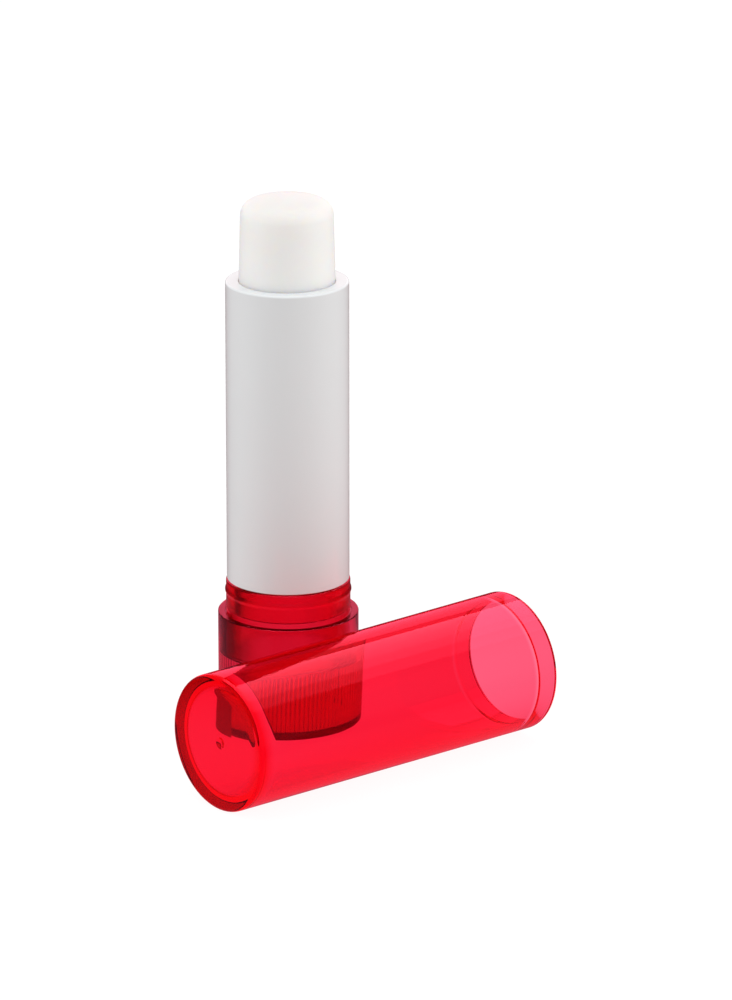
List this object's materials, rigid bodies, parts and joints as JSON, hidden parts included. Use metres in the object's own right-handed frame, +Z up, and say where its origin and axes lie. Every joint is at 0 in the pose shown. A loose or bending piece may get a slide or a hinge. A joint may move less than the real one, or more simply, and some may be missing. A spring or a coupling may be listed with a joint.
{
  "type": "lip balm stick",
  "caption": "Twist-up lip balm stick: clear red base and slotted guide tube, white barrel with helical grooves, godet with domed balm, and a clear red cap lying in front.",
  "frame": {"origin": "middle of the base's flat underside, on the stick's axis", "axes": "+Z up the stick, +X along the lying cap towards its open mouth, the cap lies on the -Y side"},
  "size_m": [0.0511, 0.0398, 0.0739],
  "materials": {
    "clear_red": "clear red styrene, polished, absorbs green and blue",
    "gloss_white": "opaque white, glossy",
    "natural_white": "uncoloured polypropylene, semi-matt",
    "balm_wax": "off-white wax, soft sheen, slightly translucent"
  },
  "bodies": {
    "base": {"base_shell": "clear_red", "guide_tube": "clear_red"},
    "barrel": {"barrel": "gloss_white"},
    "carriage": {"godet": "natural_white", "balm": "balm_wax"},
    "cap": {"cap": "clear_red"}
  },
  "joints": [
    {"name": "barrel_twist", "type": "hinge", "parent": "base", "child": "barrel", "pos_m": [0, 0, 0.02081], "axis": [0, 0, -1], "range_deg": [-260, 460]},
    {"name": "balm_lift", "type": "slide", "parent": "base", "child": "carriage", "axis": [0, 0, 1], "range_m": [-0.013, 0.023]},
    {"name": "cap_pull", "type": "slide", "parent": "base", "child": "cap", "axis": [-1, 0, 0], "range_m": [0, 0.05]}
  ],
  "couplings": [
    {"joint": "balm_lift", "follows": "barrel_twist", "m_per_rad": 0.0028648}
  ]
}
